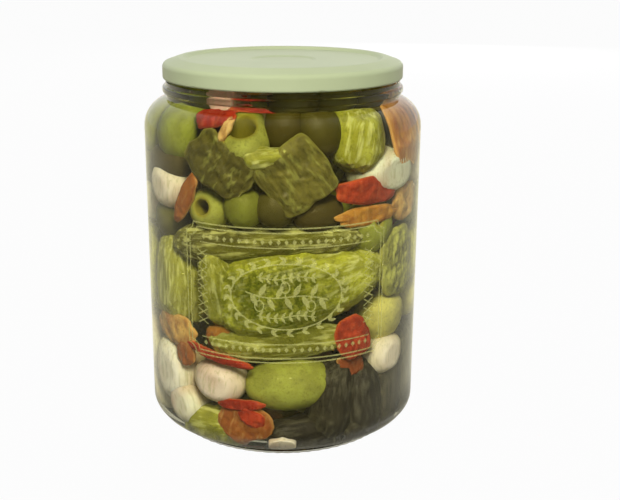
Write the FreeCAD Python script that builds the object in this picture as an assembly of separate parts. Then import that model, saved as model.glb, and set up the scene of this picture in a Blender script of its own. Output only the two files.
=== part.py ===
import FreeCAD
import Part

import math
import os

# A wide-mouth glass jar of pickle skewers, shut with a pressed-metal twist-off lid.
# Millimetres, +Z up. The origin is the middle of the bearing ring that the jar stands on.
# Outlines are lists of (radius, height, corner rounding) that are revolved about Z.

# Driving dimensions
body_radius = 50.0            # outside of the cylindrical wall
total_height = 135.3          # to the top of the lid's crown
wall = 2.4                    # glass thickness of the side wall
base_thickness = 3.7          # glass under the contents at the bearing ring

# jar foot: a bearing ring one step in from the heel, with a pushed-up middle
ring_radius = 42.9
ring_height = 2.9
ring_rounding = 0.9
bearing_inner = 38.6          # the flat that touches the table starts here
bearing_rounding = 1.2
push_up = 2.4                 # how far the middle of the base is pushed up
arch_inset = 13.0             # where the push-up starts to rise, inward of the bearing ring
arch_rounding = 22.0
heel_edge = 48.0              # lower edge of the heel, above the step
heel_edge_height = 4.4
heel_edge_rounding = 1.6
heel_height = 7.0
heel_rounding = 4.5
step_draft = 0.3              # the step's wall leans out by this much
step_rounding = 0.8
inner_heel_rounding = 7.2
inner_arch_inset = 12.0
inner_arch_rounding = 30.0
inner_arch_middle = 10.0      # the inside of the push-up is flat within this radius
inner_arch_crown = 14.0
knurl_count = 72              # grip notches round the foot
knurl_radius = 0.6
knurl_depth = 0.25
knurl_length = 2.6

# jar shoulder and neck
shoulder_bottom = 111.3       # height at which the side wall starts to curve in
shoulder_rounding = 10.3
shoulder_turn = 72.8          # degrees that the shoulder curves through
inner_shoulder_turn = 60.0
groove_radius = 41.8          # neck groove between the shoulder and the transfer bead
bead_radius = 43.1
bead_bottom = 123.0
bead_top = 125.8
bead_rounding = 0.8
bead_draft = 0.3              # the bead's faces slope by this much
groove_rounding = 0.5
groove_foot_rounding = 0.25
collar_radius = 42.0          # neck between the bead and the hem of the lid
collar_top = 127.1
collar_rounding = 0.4
collar_fall = 0.9             # height of the slope from the collar in to the finish
finish_radius = 40.1          # wall of the neck finish that carries the threads
rim_height = 133.5            # sealing lip of the glass
rim_rounding = 1.1
mouth_radius = 37.6
inner_neck_rounding = 5.0

# interrupted threads of the twist-off finish
thread_count = 6
thread_span = 46.0            # degrees that one thread covers
thread_lead = 1.1             # how far one thread falls over its span
thread_high = 131.2           # height of a thread's middle at its open end
thread_half_height = 0.95
thread_depth = 0.95
thread_sections = 9
thread_root = 0.35            # how far a thread's foot reaches into the neck wall
thread_fade = 0.35            # how blunt a thread's two ends are, from 0, square, to 1, long
thread_tip = 0.04             # the least that a thread stands out at its ends

# lid
lid_radius = 42.9
lid_bottom = 127.9
sheet = 0.25                  # thickness of the coated tinplate
crown_rounding = 1.8          # rounding of the lid's shoulder
crown_slope = 1.9             # how far the shoulder falls from the crown ring to the skirt
crown_radius = 37.4           # top of the crown ring
panel_radius = 34.2           # outer edge of the flat panel inside the crown ring
panel_drop = 1.0
panel_rounding = 0.9
panel_step = 1.4              # width of the slope from the panel up to the crown ring
crown_ring_rounding = 2.4
button_radius = 12.0          # vacuum button in the middle of the panel
button_drop = 0.45
button_step = 1.4
button_rounding = 1.0
curl_radius = 0.85            # rolled hem at the foot of the skirt
lug_count = 6
lug_width = 9.0
lug_inner = 40.35             # a lug's inner face, just clear of the finish wall
lug_height = 1.35
lug_rounding = 0.4
lug_lift = 0.15               # the lugs start this far above the foot of the hem
lug_turn = 40.0               # where the lugs have stopped along the threads, in degrees

# sealing compound and contents
gasket_inner = 36.2
gasket_outer = 40.8
gasket_press = 0.35           # how deep the lip is pressed into it
gasket_rounding = 0.3
gasket_lip = 0.3              # the compound's outer edge hangs this much lower
brine_level = 130.2           # just under the lid

axis = FreeCAD.Vector(0, 0, 1)
origin = FreeCAD.Vector(0, 0, 0)


def at(radius, height):
    return FreeCAD.Vector(radius, 0, height)


def rounded_wire(corners):
    """A closed wire in the XZ plane through the corners, each (radius, height, rounding)."""
    points = [at(radius, height) for radius, height, rounding in corners]
    arcs = []
    for index, (radius, height, rounding) in enumerate(corners):
        corner = points[index]
        before = (points[index - 1] - corner)
        after = (points[(index + 1) % len(points)] - corner)
        if rounding == 0:
            arcs.append((corner, None, corner))
            continue
        before.normalize()
        after.normalize()
        half = before.getAngle(after) / 2
        setback = rounding / math.tan(half)
        bisector = (before + after).normalize()
        centre = corner + bisector * (rounding / math.sin(half))
        middle = centre - bisector * rounding
        arcs.append((corner + before * setback, middle, corner + after * setback))
    edges = []
    for index, (start, middle, end) in enumerate(arcs):
        if middle is not None:
            edges.append(Part.Arc(start, middle, end).toShape())
        following = arcs[(index + 1) % len(arcs)][0]
        if end.distanceToPoint(following) > 1e-6:
            edges.append(Part.LineSegment(end, following).toShape())
    return Part.Wire(Part.__sortEdges__(edges))


def revolved(corners):
    """The solid that a rounded outline makes when it is turned once about Z."""
    return Part.Face(rounded_wire(corners)).revolve(origin, axis, 360)


def foot_outline():
    """Outside of the jar's foot, from the axis to the side wall."""
    return [
        (0, push_up, 0),
        (bearing_inner - arch_inset, push_up, arch_rounding),
        (bearing_inner, 0, bearing_rounding),
        (ring_radius, 0, ring_rounding),
        (ring_radius + step_draft, ring_height, step_rounding),
        (heel_edge, heel_edge_height, heel_edge_rounding),
        (body_radius, heel_height, heel_rounding),
    ]


def shoulder(radius, rounding, turn, end_radius):
    """Where a shoulder's tangents meet, and where its upper tangent reaches the neck."""
    corner = shoulder_bottom + rounding * math.tan(math.radians(turn / 2))
    rise = (radius - end_radius) / math.tan(math.radians(turn))
    return corner, corner + rise


def neck_outline():
    """Outside of the shoulder, groove, transfer bead and finish, up to the sealing lip."""
    corner, top = shoulder(body_radius, shoulder_rounding, shoulder_turn, groove_radius)
    return [
        (body_radius, corner, shoulder_rounding),
        (groove_radius, top, groove_rounding),
        (groove_radius, bead_bottom, groove_foot_rounding),
        (bead_radius, bead_bottom + bead_draft, bead_rounding),
        (bead_radius, bead_top - bead_draft, bead_rounding),
        (collar_radius, bead_top, collar_rounding),
        (collar_radius, collar_top, collar_rounding),
        (finish_radius, collar_top + collar_fall, collar_rounding),
        (finish_radius, rim_height, rim_rounding),
        (mouth_radius, rim_height, rim_rounding),
    ]


def inside_outline(top):
    """The inner wall from a height in the neck down to the middle of the floor."""
    inner_radius = body_radius - wall
    rounding = shoulder_rounding - wall
    corner, neck = shoulder(inner_radius, rounding, inner_shoulder_turn, mouth_radius)
    return [
        (mouth_radius, top, 0),
        (mouth_radius, neck, inner_neck_rounding),
        (inner_radius, corner, rounding),
        (inner_radius, base_thickness, inner_heel_rounding),
        (bearing_inner - inner_arch_inset, base_thickness, inner_arch_rounding),
        (inner_arch_middle, base_thickness + push_up, inner_arch_crown),
        (0, base_thickness + push_up, 0),
    ]


def thread_section(share):
    """A thread's rounded section, a share of the way along. Both ends run out to nothing."""
    swell = max(math.sin(math.pi * share), 0.0) ** thread_fade
    reach = max(thread_depth * swell, thread_tip)
    half = thread_half_height * (thread_fade + (1 - thread_fade) * swell)
    middle = thread_high - thread_lead * share
    foot = at(finish_radius - thread_root, middle - half)
    crest = at(finish_radius + reach, middle)
    head = at(finish_radius - thread_root, middle + half)
    section = Part.Wire([Part.Arc(foot, crest, head).toShape(), Part.LineSegment(head, foot).toShape()])
    section.rotate(origin, axis, thread_span * share)
    return section


def thread():
    # the sections run from just inside one end to just inside the other, so that none is empty
    shares = [(index + 0.02) / (thread_sections - 0.96) for index in range(thread_sections)]
    return Part.makeLoft([thread_section(share) for share in shares], True, False)


def knurls():
    """Short shallow notches that run slantwise up the outer corner of the bearing ring."""
    inset = ring_rounding * (1 - math.sqrt(0.5))
    outward = at(1, -1).normalize()
    along = at(1, 1).normalize()
    middle = at(ring_radius - inset, inset) + outward * (knurl_radius - knurl_depth)
    start = middle - along * (knurl_length / 2)
    notches = []
    for index in range(knurl_count):
        notch = Part.makeCylinder(knurl_radius, knurl_length, start, along)
        notch.rotate(origin, axis, 360.0 * index / knurl_count)
        notches.append(notch)
    return Part.makeCompound(notches)


def make_jar():
    glass = revolved(foot_outline() + neck_outline() + inside_outline(rim_height)[1:])
    threads = []
    for index in range(thread_count):
        turned = thread()
        turned.rotate(origin, axis, 360.0 * index / thread_count)
        threads.append(turned)
    glass = glass.fuse(threads)
    return glass.cut(knurls())


def lid_sheet():
    """The pressed shell: panel with button, crown ring, sloping shoulder and skirt."""
    crown = total_height
    panel = crown - panel_drop
    bend = sheet * 0.4
    shoulder = total_height - crown_slope
    outside = [
        (0, panel - button_drop, 0),
        (button_radius - button_step, panel - button_drop, button_rounding),
        (button_radius, panel, button_rounding),
        (panel_radius, panel, panel_rounding),
        (panel_radius + panel_step, crown, panel_rounding),
        (crown_radius, crown, crown_ring_rounding),
        (lid_radius, shoulder, crown_rounding),
        (lid_radius, lid_bottom + curl_radius, 0),
    ]
    inside = [
        (lid_radius - sheet, lid_bottom + curl_radius, 0),
        (lid_radius - sheet, shoulder - sheet, crown_rounding - sheet),
        (crown_radius - bend, crown - sheet, crown_ring_rounding),
        (panel_radius + panel_step + 2 * bend, crown - sheet, panel_rounding - sheet),
        (panel_radius + 2 * bend, panel - sheet, panel_rounding + sheet),
        (button_radius + bend, panel - sheet, button_rounding),
        (button_radius - button_step + bend, panel - button_drop - sheet, button_rounding),
        (0, panel - button_drop - sheet, 0),
    ]
    return revolved(outside + inside)


def lid_curl():
    """The rolled hem, a hollow ring under the skirt."""
    centre = lid_radius - curl_radius
    height = lid_bottom + curl_radius
    rolled = Part.makeTorus(centre, curl_radius, at(0, height), axis)
    return rolled.cut(Part.makeTorus(centre, curl_radius - sheet, at(0, height), axis))


def lid_lug(turn):
    """A stretch of hem pressed inward to hook under a thread."""
    outer = lid_radius - curl_radius
    low = lid_bottom + lug_lift
    outline = rounded_wire([
        (outer, low, 0),
        (lug_inner + lug_lift, low, lug_rounding),
        (lug_inner, low + lug_height, lug_rounding),
        (outer, low + lug_height, 0),
    ])
    sweep = math.degrees(lug_width / lid_radius)
    lug = Part.Face(outline).revolve(origin, axis, sweep)
    lug.rotate(origin, axis, turn - sweep / 2)
    return lug


def make_lid():
    lugs = [lid_lug(lug_turn + 360.0 * index / lug_count) for index in range(lug_count)]
    return lid_sheet().fuse([lid_curl()] + lugs)


def make_gasket(jar):
    """Sealing compound flowed into the crown ring, with the lip's groove pressed into it."""
    top = total_height - sheet
    fall = crown_slope * (gasket_outer - crown_radius) / (lid_radius - sheet - crown_radius)
    low = rim_height - gasket_press
    ring = revolved([
        (gasket_inner, low, gasket_rounding),
        (gasket_outer, low - gasket_lip, gasket_rounding),
        (gasket_outer, top - fall - 0.02, gasket_rounding),  # a hair under the lid's slope
        (crown_radius - sheet * 0.4, top, crown_ring_rounding),
        (gasket_inner, top, gasket_rounding),
    ])
    return ring.cut(jar)


def make_brine():
    """The contents up to the brine's level, against the inner wall all round."""
    return revolved([(0, brine_level, 0)] + inside_outline(brine_level))


def main():
    os.makedirs("parts", exist_ok=True)
    jar = make_jar()
    lid = make_lid()
    gasket = make_gasket(jar).cut(lid)
    pieces = {"jar_glass": jar, "lid": lid, "lid_gasket": gasket, "brine_fill": make_brine()}
    for name, shape in pieces.items():
        shape.exportStep(f"parts/{name}.step")
        box = shape.optimalBoundingBox(False)
        print(name, "solids", len(shape.Solids), "valid", shape.isValid(),
              "volume", round(shape.Volume, 1), "z", round(box.ZMin, 2), round(box.ZMax, 2),
              "r", round(box.XMax, 2))


main()
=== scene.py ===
import math

import bpy
import numpy as np
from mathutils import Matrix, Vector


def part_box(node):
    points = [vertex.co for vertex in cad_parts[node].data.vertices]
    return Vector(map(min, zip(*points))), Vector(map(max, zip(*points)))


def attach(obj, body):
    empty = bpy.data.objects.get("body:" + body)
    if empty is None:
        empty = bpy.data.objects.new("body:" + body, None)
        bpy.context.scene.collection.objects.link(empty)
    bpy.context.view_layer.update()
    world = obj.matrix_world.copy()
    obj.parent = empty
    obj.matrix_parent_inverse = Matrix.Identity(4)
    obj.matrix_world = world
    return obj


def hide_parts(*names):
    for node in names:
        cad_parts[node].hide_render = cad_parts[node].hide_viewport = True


# A clear jar of pickle skewers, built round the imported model. Metres, +Z up, the printed front faces -Y.
# Sizes inside the jar are in millimetres. A place there is a turn from the front in degrees (plus is to
# the right, seen from the front), a distance from the jar's axis and a height.

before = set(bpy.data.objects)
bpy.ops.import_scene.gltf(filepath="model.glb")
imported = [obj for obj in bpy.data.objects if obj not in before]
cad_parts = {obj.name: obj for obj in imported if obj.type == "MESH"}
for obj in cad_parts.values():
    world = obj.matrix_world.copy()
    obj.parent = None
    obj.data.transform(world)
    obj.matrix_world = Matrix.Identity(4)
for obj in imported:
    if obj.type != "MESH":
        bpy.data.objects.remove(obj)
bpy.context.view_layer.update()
mm = 0.001
jarLow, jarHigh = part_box("jar_glass")
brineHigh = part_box("brine_fill")[1]
white = (1, 1, 1, 1)
black = (0, 0, 0, 1)
print("stage: frame loaded")


# mesh helpers

def roundedOutline(corners, steps=8):
    # (radius, height, rounding) corners as a line of points; the rounded ones become arcs
    points = [np.array(c[:2], float) for c in corners]
    line = []
    for k, (radius, height, rounding) in enumerate(corners):
        if rounding == 0 or k in (0, len(corners) - 1):
            line.append(points[k])
            continue
        back = points[k - 1] - points[k]
        ahead = points[k + 1] - points[k]
        back /= np.linalg.norm(back)
        ahead /= np.linalg.norm(ahead)
        half = math.acos(float(np.clip(back @ ahead, -1, 1))) / 2
        middle = back + ahead
        centre = points[k] + middle / np.linalg.norm(middle) * rounding / math.sin(half)
        first = points[k] + back * rounding / math.tan(half) - centre
        last = points[k] + ahead * rounding / math.tan(half) - centre
        start = math.atan2(first[1], first[0])
        sweep = (math.atan2(last[1], last[0]) - start + math.pi) % (2 * math.pi) - math.pi
        for share in np.linspace(0, 1, steps + 1):
            turn = start + sweep * share
            line.append(centre + rounding * np.array([math.cos(turn), math.sin(turn)]))
    return np.array(line)


def spaced(line, longest):
    # the same line with its long stretches cut so that no step is over the given length
    points = []
    for start, end in zip(line[:-1], line[1:]):
        count = max(1, math.ceil(np.linalg.norm(end - start) / longest))
        points += [start + (end - start) * k / count for k in range(count)]
    return np.array(points + [line[-1]])


def lathe(line, around, closed=False):
    # turns (radius, height) points about Z; a point on the axis stays one vertex
    turns = np.arange(around) * 2 * math.pi / around
    cosine, sine = np.cos(turns), np.sin(turns)
    verts, rows = [], []
    for radius, height in line:
        if radius < 1e-4:
            rows.append([len(verts)] * around)
            verts.append((0.0, 0.0, height))
            continue
        rows.append(list(range(len(verts), len(verts) + around)))
        verts += [(radius * c, radius * s, height) for c, s in zip(cosine, sine)]
    faces = []
    pairs = list(zip(rows[:-1], rows[1:])) + ([(rows[-1], rows[0])] if closed else [])
    for low, high in pairs:
        for k in range(around):
            n = (k + 1) % around
            faces.append(tuple(dict.fromkeys((low[k], low[n], high[n], high[k]))))
    return np.array(verts), faces


def rightOrder(verts, faces):
    # faces given the right way round, so that the closed shape's normals point out
    a, b, c = (np.array([f[k] for f in faces]) for k in range(3))
    signed = np.einsum("ij,ij->i", verts[a], np.cross(verts[b], verts[c])).sum()
    return faces if signed > 0 else [f[::-1] for f in faces]


def placed(name, data):
    thing = bpy.data.objects.new(name, data)
    bpy.context.scene.collection.objects.link(thing)
    return thing


def makeObject(name, verts, faces, materials, faceSlots=None, attributes=None):
    mesh = bpy.data.meshes.new(name)
    mesh.from_pydata((np.asarray(verts) * mm).tolist(), [], faces)
    for material in materials:
        mesh.materials.append(material)
    if faceSlots is not None:
        mesh.polygons.foreach_set("material_index", faceSlots)
    for key, values in (attributes or {}).items():
        values = np.asarray(values, np.float32)
        kind = "FLOAT_VECTOR" if values.ndim == 2 else "FLOAT"
        layer = mesh.attributes.new(key, kind, "POINT")
        layer.data.foreach_set("vector" if values.ndim == 2 else "value", values.ravel())
    mesh.validate()
    mesh.shade_smooth()
    return placed(name, mesh)


def waves(points, size, seed, count=7):
    # smooth unevenness, about -1 to 1, from a few crossing waves
    rng = np.random.default_rng(seed)
    total = np.zeros(len(points))
    for _ in range(count):
        way = rng.normal(size=3)
        way *= rng.uniform(0.6, 1.5) * 2 * math.pi / size / np.linalg.norm(way)
        total += np.sin(points @ way + rng.uniform(0, 2 * math.pi))
    return total / math.sqrt(count)


def turnedBy(axis, degrees):
    c, s = math.cos(math.radians(degrees)), math.sin(math.radians(degrees))
    if axis == "x":
        return np.array([[1, 0, 0], [0, c, -s], [0, s, c]])
    if axis == "y":
        return np.array([[c, 0, s], [0, 1, 0], [-s, 0, c]])
    return np.array([[c, -s, 0], [s, c, 0], [0, 0, 1]])


def radiusAndTurn(verts):
    return np.hypot(verts[:, 0], verts[:, 1]), np.arctan2(verts[:, 1], verts[:, 0])


# shader helpers

def tint(code):
    # a written colour such as "a0b050" as the linear colour that Blender's sockets want
    parts = [int(code[k:k + 2], 16) / 255 for k in (0, 2, 4)]
    linear = [c / 12.92 if c <= 0.04045 else ((c + 0.055) / 1.055) ** 2.4 for c in parts]
    return (*linear, 1.0)


def newMaterial(name):
    material = bpy.data.materials.new(name)
    material.use_nodes = True
    material.node_tree.nodes.clear()
    return material, material.node_tree


def node(tree, kind, inputs=None, **settings):
    made = tree.nodes.new("ShaderNode" + kind)
    for key, value in settings.items():
        setattr(made, key, value)
    for key, value in (inputs or {}).items():
        if isinstance(value, bpy.types.NodeSocket):
            tree.links.new(value, made.inputs[key])
        else:
            made.inputs[key].default_value = value
    return made


def colourMix(tree, factor, first, second):
    return node(tree, "Mix", {0: factor, 6: first, 7: second}, data_type="RGBA").outputs[2]


def shaderMix(tree, factor, first, second):
    return node(tree, "MixShader", {0: factor, 1: first, 2: second}).outputs[0]


def maths(tree, operation, *values, clamp=False):
    return node(tree, "Math", dict(enumerate(values)), operation=operation, use_clamp=clamp).outputs[0]


def ranged(tree, value, low, high, toLow=0.0, toHigh=1.0):
    return node(tree, "MapRange", {"Value": value, "From Min": low, "From Max": high,
                                             "To Min": toLow, "To Max": toHigh}).outputs[0]


def noise(tree, place, scale, detail, roughness=0.5):
    return node(tree, "TexNoise", {"Vector": place, "Scale": scale, "Detail": detail,
                                             "Roughness": roughness}).outputs["Fac"]


def bumped(tree, height, strength, depth):
    return node(tree, "Bump", {"Height": height, "Strength": strength, "Distance": depth * mm}).outputs[0]


def objectPlace(tree):
    return node(tree, "TexCoord").outputs["Object"]


def ownPlace(tree):
    # the place on the pickle itself, so that no two pickles are marked alike
    return node(tree, "Attribute", attribute_name="ownPlace").outputs["Vector"]


def ownValue(tree, name):
    return node(tree, "Attribute", attribute_name=name).outputs["Fac"]


def useGroup(tree, group, inputs):
    return node(tree, "Group", inputs, node_tree=group).outputs


def newGroup(name, inputs, outputs):
    # inputs with their starting values; those given none are vectors
    group = bpy.data.node_groups.new(name, "ShaderNodeTree")
    kinds = {type(None): "NodeSocketVector", tuple: "NodeSocketColor", float: "NodeSocketFloat"}
    for label, value in inputs.items():
        socket = group.interface.new_socket(label, in_out="INPUT", socket_type=kinds[type(value)])
        if value is not None:
            socket.default_value = value
    for label, kind in outputs.items():
        group.interface.new_socket(label, in_out="OUTPUT", socket_type=kind)
    source = group.nodes.new("NodeGroupInput")
    target = group.nodes.new("NodeGroupOutput")
    return group, source.outputs, target.inputs


def makeMottleGroup():
    # cured vegetable skin: broad cloudy patches with fine darker flecks over them
    group, given, result = newGroup(
        "curedMottle",
        {"Place": None, "Base": (0.5, 0.5, 0.2, 1), "Patch": (0.4, 0.4, 0.1, 1), "Fleck": (0.2, 0.2, 0.1, 1),
         "Patch Size": 8.0, "Fleck Size": 1.0, "Fleck Amount": 0.3},
        {"Colour": "NodeSocketColor", "Height": "NodeSocketFloat"})
    patches = noise(group, given["Place"], maths(group, "DIVIDE", 1.0, given["Patch Size"]), 2.0, 0.55)
    flecks = noise(group, given["Place"], maths(group, "DIVIDE", 1.0, given["Fleck Size"]), 3.0, 0.65)
    patched = colourMix(group, ranged(group, patches, 0.38, 0.64), given["Base"], given["Patch"])
    amount = maths(group, "MULTIPLY", ranged(group, flecks, 0.52, 0.7), given["Fleck Amount"])
    group.links.new(colourMix(group, amount, patched, given["Fleck"]), result["Colour"])
    group.links.new(flecks, result["Height"])
    return group


def makeStreakGroup():
    # long fibres: noise drawn out along the piece's own Z
    group, given, result = newGroup(
        "longStreaks", {"Place": None, "Width": 1.5, "Stretch": 0.15, "Low": 0.4, "High": 0.65},
        {"Mask": "NodeSocketFloat"})
    parts = node(group, "SeparateXYZ", {"Vector": given["Place"]}).outputs
    along = maths(group, "MULTIPLY", parts["Z"], given["Stretch"])
    squeezed = node(group, "CombineXYZ", {"X": parts["X"], "Y": parts["Y"], "Z": along}).outputs[0]
    grain = noise(group, squeezed, maths(group, "DIVIDE", 1.0, given["Width"]), 2.0)
    group.links.new(ranged(group, grain, given["Low"], given["High"]), result["Mask"])
    return group


mottle = makeMottleGroup()
streaks = makeStreakGroup()


# The pickles' looks. "tones" are the colours at tone 0, 0.5 and 1. "patch" is a colour, its share and the
# size of the patches, and "fleck" the same. Each of "streaks" is a colour, its share, its width, its
# stretch along the piece and where in the noise it starts and is full. "accent" is the colour of bores,
# wart tips or cut flesh, how much of the piece's tone it covers and its share. The olives' bore colour is
# the cut flesh set darker than a bright olive's skin, so partly painted shade inside the hole.

oliveLooks = {
    "tones": ("463c12", "929830", "ccc464"), "patch": ("463c12", 0.35, 7.0), "fleck": ("463c10", 0.4, 0.9),
    # 8c8226 is the bores' colour: the olive's cut flesh, set darker than a bright olive's skin, so partly painted
    # shade inside the hole
    "streaks": (), "accent": ("8c8226", 1.0, 1.0),
    "bump": 0.3, "bumpDepth": 0.4, "roughness": 0.35, "gloss": 0.08,
    "glow": 0.25, "glowDepth": 2.0, "glowColour": (1.0, 0.8, 0.3)}

gherkinLooks = {
    "tones": ("403a1a", "928f30", "c4c436"), "patch": ("4e4a0e", 0.35, 6.0), "fleck": ("4e4a0e", 0.55, 1.2),
    "streaks": (("74721a", 0.5, 4.0, 0.12, 0.45, 0.6), ("dedc80", 0.5, 1.4, 0.12, 0.5, 0.66)),
    "accent": ("ccc866", 1.0, 0.25),
    "bump": 0.6, "bumpDepth": 0.6, "roughness": 0.4, "gloss": 0.08,
    "glow": 0.2, "glowDepth": 1.6, "glowColour": (1.0, 0.9, 0.3)}

darkGherkinLooks = {
    **gherkinLooks, "tones": ("1e190e", "37321e", "4c4830"), "patch": ("0e0b06", 0.35, 6.0),
    "fleck": ("0e0b06", 0.55, 1.2), "accent": ("7a7454", 1.0, 0.35), "glow": 0.1, "glowDepth": 1.2,
    "glowColour": (1.0, 0.9, 0.5),
    "streaks": (("151108", 0.45, 4.0, 0.12, 0.45, 0.6), ("807a5c", 0.22, 1.4, 0.12, 0.5, 0.66))}

# "stain" is a colour, its greatest share, its scale and where in the noise it starts and is full
onionLooks = {
    "tones": ("cfa480", "e6dfba", "c4d29c"), "patch": ("ab8c5c", 0.25, 9.0), "fleck": ("ab8c5c", 0.15, 2.0),
    "streaks": (("a29a5e", 0.4, 1.1, 0.08, 0.52, 0.66),), "stain": ("c08a66", 0.45, 0.07, 0.5, 0.7),
    "bump": 0.2, "bumpDepth": 0.3, "roughness": 0.3, "gloss": 0.1,
    "glow": 0.35, "glowDepth": 3.0, "glowColour": (1.0, 0.9, 0.6)}


def pepperLooks(dark, middle, light, fleck, flesh, roughness, gloss, glowColour):
    return {
        "tones": (dark, middle, light), "patch": (dark, 0.6, 4.5), "fleck": (fleck, 0.5, 1.0),
        "streaks": ((fleck, 0.3, 1.5, 0.3, 0.5, 0.64), (light, 0.3, 1.9, 0.35, 0.54, 0.7)),
        "accent": (flesh, 0.6, 1.0), "bump": 0.3, "bumpDepth": 0.5, "roughness": roughness, "gloss": gloss,
        "glow": 0.2, "glowDepth": 1.5, "glowColour": glowColour}


redPepperLooks = pepperLooks("6e1c0c", "a83216", "c8602c", "5c1406", "c8682c", 0.3, 0.1, (1.0, 0.35, 0.15))
greenPepperLooks = pepperLooks("403a12", "726a24", "b2b250", "332e0c", "928c3a", 0.35, 0.08, (0.9, 0.9, 0.3))
orangePepperLooks = pepperLooks("84421c", "b8832f", "d4b060", "7c4410", "d09e50", 0.35, 0.08, (1.0, 0.6, 0.2))

pickLooks = {
    "wood": "c9b27a", "grain": "a38a50", "grainWidth": 0.5, "grainStretch": 0.06, "grainFrom": 0.4, "grainTo": 0.7,
    "bump": 0.3, "bumpDepth": 0.1, "roughness": 0.6, "gloss": 0.08,
    "glow": 0.1, "glowDepth": 0.5, "glowColour": (1.0, 0.8, 0.5)}


def finishFood(tree, colour, height, looks):
    skin = node(tree, "BsdfPrincipled", {
        "Base Color": colour, "Normal": bumped(tree, height, looks["bump"], looks["bumpDepth"]),
        "Roughness": looks["roughness"], "Specular IOR Level": looks["gloss"],
        "Subsurface Weight": looks["glow"], "Subsurface Scale": looks["glowDepth"] * mm,
        "Subsurface Radius": looks["glowColour"]})
    node(tree, "OutputMaterial", {"Surface": skin.outputs[0]})


def streakMask(tree, width, stretch, low, high):
    return useGroup(tree, streaks, {"Place": ownPlace(tree), "Width": width, "Stretch": stretch,
                                    "Low": low, "High": high})["Mask"]


def makeFoodMaterial(name, looks):
    material, tree = newMaterial(name)
    dark, middle, light = (tint(code) for code in looks["tones"])
    tone = ownValue(tree, "tone")
    lower = maths(tree, "MULTIPLY", tone, 2.0, clamp=True)
    upper = maths(tree, "MULTIPLY_ADD", tone, 2.0, -1.0, clamp=True)
    base = colourMix(tree, upper, colourMix(tree, lower, dark, middle), light)
    patch, patchShare, patchSize = looks["patch"]
    fleck, fleckShare, fleckSize = looks["fleck"]
    skin = useGroup(tree, mottle, {
        "Place": ownPlace(tree), "Base": base, "Patch": colourMix(tree, patchShare, base, tint(patch)),
        "Fleck": tint(fleck), "Patch Size": patchSize, "Fleck Size": fleckSize, "Fleck Amount": fleckShare})
    colour = skin["Colour"]
    for code, share, width, stretch, low, high in looks["streaks"]:
        mask = maths(tree, "MULTIPLY", streakMask(tree, width, stretch, low, high), share)
        colour = colourMix(tree, mask, colour, tint(code))
    if "stain" in looks:
        code, share, scale, low, high = looks["stain"]
        mask = ranged(tree, noise(tree, ownPlace(tree), scale, 1.0), low, high, 0.0, share)
        colour = colourMix(tree, mask, colour, tint(code))
    if "accent" in looks:
        code, cover, share = looks["accent"]
        mask = maths(tree, "MULTIPLY", ownValue(tree, "accent"), share)
        colour = colourMix(tree, mask, colour, colourMix(tree, cover, base, tint(code)))
    finishFood(tree, colour, skin["Height"], looks)
    return material


def makePickMaterial(looks):
    material, tree = newMaterial("birchPick")
    grain = streakMask(tree, looks["grainWidth"], looks["grainStretch"], looks["grainFrom"], looks["grainTo"])
    finishFood(tree, colourMix(tree, grain, tint(looks["wood"]), tint(looks["grain"])), grain, looks)
    return material


# glass and brine: ripples by their scale, strength and depth

glassLooks = {
    "ior": 1.5, "ripple": (45.0, 0.12, 0.4), "tint": white,
    "edge": (0.9, 0.88, 0.55, 1), "edgeFrom": 0.55, "mirror": (0.35, 0.33, 0.24, 1)}
brineLooks = {"ior": 1.335, "ripple": (60.0, 0.05, 0.2), "absorb": (0.76, 0.72, 0.10, 1), "density": 22.0}


def clearSurface(tree, looks, colour, mirror):
    scale, strength, depth = looks["ripple"]
    ripple = noise(tree, objectPlace(tree), scale, 1.0)
    bsdf = node(tree, "BsdfPrincipled", {
        "Base Color": colour, "Roughness": 0.0, "IOR": looks["ior"], "Transmission Weight": 1.0,
        "Specular Tint": mirror, "Normal": bumped(tree, ripple, strength, depth)})
    # lamps and bounced light pass straight on, so that what is behind the glass is lit
    path = node(tree, "LightPath").outputs
    straight = maths(tree, "MAXIMUM", path["Is Shadow Ray"], path["Is Diffuse Ray"])
    return shaderMix(tree, straight, bsdf.outputs[0], node(tree, "BsdfTransparent").outputs[0])


def makeGlassMaterial(name, looks, mirror):
    # the long way through the wall at the sides of the jar takes up a little of the light
    material, tree = newMaterial(name)
    facing = node(tree, "LayerWeight", {"Blend": 0.5}).outputs["Facing"]
    passed = colourMix(tree, ranged(tree, facing, looks["edgeFrom"], 1.0), looks["tint"], looks["edge"])
    node(tree, "OutputMaterial", {"Surface": clearSurface(tree, looks, passed, mirror)})
    return material


def makeBrineMaterial(looks):
    material, tree = newMaterial("brine")
    inside = node(tree, "VolumeAbsorption", {"Color": looks["absorb"], "Density": looks["density"]})
    node(tree, "OutputMaterial",
         {"Surface": clearSurface(tree, looks, white, black), "Volume": inside.outputs[0]})
    return material


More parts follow.
